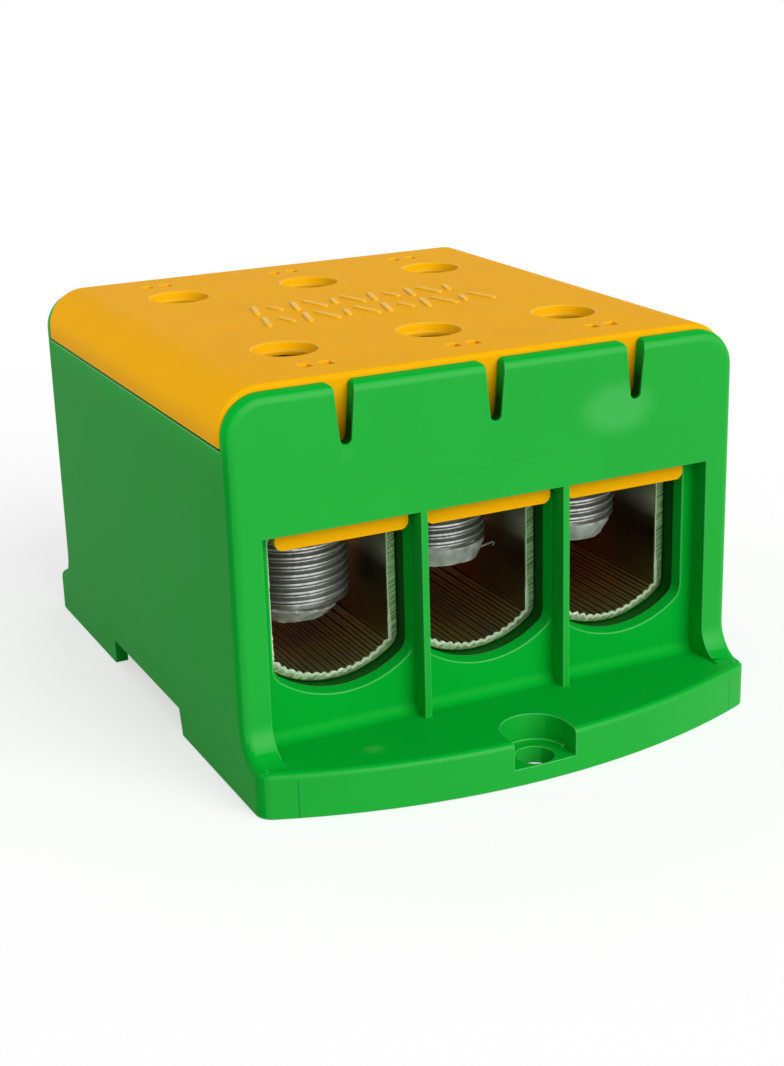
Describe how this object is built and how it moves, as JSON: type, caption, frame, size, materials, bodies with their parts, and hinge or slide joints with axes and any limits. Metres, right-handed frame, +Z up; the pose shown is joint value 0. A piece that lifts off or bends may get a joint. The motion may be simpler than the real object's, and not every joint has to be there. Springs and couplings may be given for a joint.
{
  "type": "feed-through terminal block",
  "caption": "Moulded feed-through terminal block with a clipped lid, aluminium clamp tubes, hexagon-socket clamp screws, a spring latch for a rail and flanges with fixing holes.",
  "frame": {"origin": "middle of the underside, on the mounting plane", "axes": "+X across the poles, +Y from the front openings to the back ones, +Z up through the lid"},
  "size_m": [0.091, 0.1264, 0.0664],
  "materials": {
    "green_polyamide": "satin moulded",
    "yellow_polyamide": "satin moulded",
    "latch_polyamide": "satin moulded",
    "aluminium_tube": "extruded, sawn ends",
    "plated_steel": "zinc plated, greased tip",
    "spring_steel": "rolled strip"
  },
  "bodies": {
    "block": {"housing": "green_polyamide", "lid": "yellow_polyamide", "clamp_tube_left": "aluminium_tube", "clamp_tube_middle": "aluminium_tube", "clamp_tube_right": "aluminium_tube", "latch_spring": "spring_steel"},
    "front_screw_left": {"front_screw_left": "plated_steel"},
    "front_screw_middle": {"front_screw_middle": "plated_steel"},
    "front_screw_right": {"front_screw_right": "plated_steel"},
    "back_screw_left": {"back_screw_left": "plated_steel"},
    "back_screw_middle": {"back_screw_middle": "plated_steel"},
    "back_screw_right": {"back_screw_right": "plated_steel"},
    "rail_latch": {"rail_latch": "latch_polyamide"}
  },
  "joints": [
    {"name": "front_screw_left_drive", "type": "slide", "parent": "block", "child": "front_screw_left", "axis": [0, 0, 1], "range_m": [-0.003, 0.0098]},
    {"name": "front_screw_middle_drive", "type": "slide", "parent": "block", "child": "front_screw_middle", "axis": [0, 0, 1], "range_m": [-0.0085, 0.0043]},
    {"name": "front_screw_right_drive", "type": "slide", "parent": "block", "child": "front_screw_right", "axis": [0, 0, 1], "range_m": [-0.0085, 0.0043]},
    {"name": "back_screw_left_drive", "type": "slide", "parent": "block", "child": "back_screw_left", "axis": [0, 0, 1], "range_m": [-0.0085, 0.0043]},
    {"name": "back_screw_middle_drive", "type": "slide", "parent": "block", "child": "back_screw_middle", "axis": [0, 0, 1], "range_m": [-0.0085, 0.0043]},
    {"name": "back_screw_right_drive", "type": "slide", "parent": "block", "child": "back_screw_right", "axis": [0, 0, 1], "range_m": [-0.0085, 0.0043]},
    {"name": "rail_latch_slide", "type": "slide", "parent": "block", "child": "rail_latch", "axis": [0, 1, 0], "range_m": [0, 0.003], "stiffness_N_per_m": 3000, "springref_m": -0.001, "deforming": ["latch_spring"]}
  ]
}
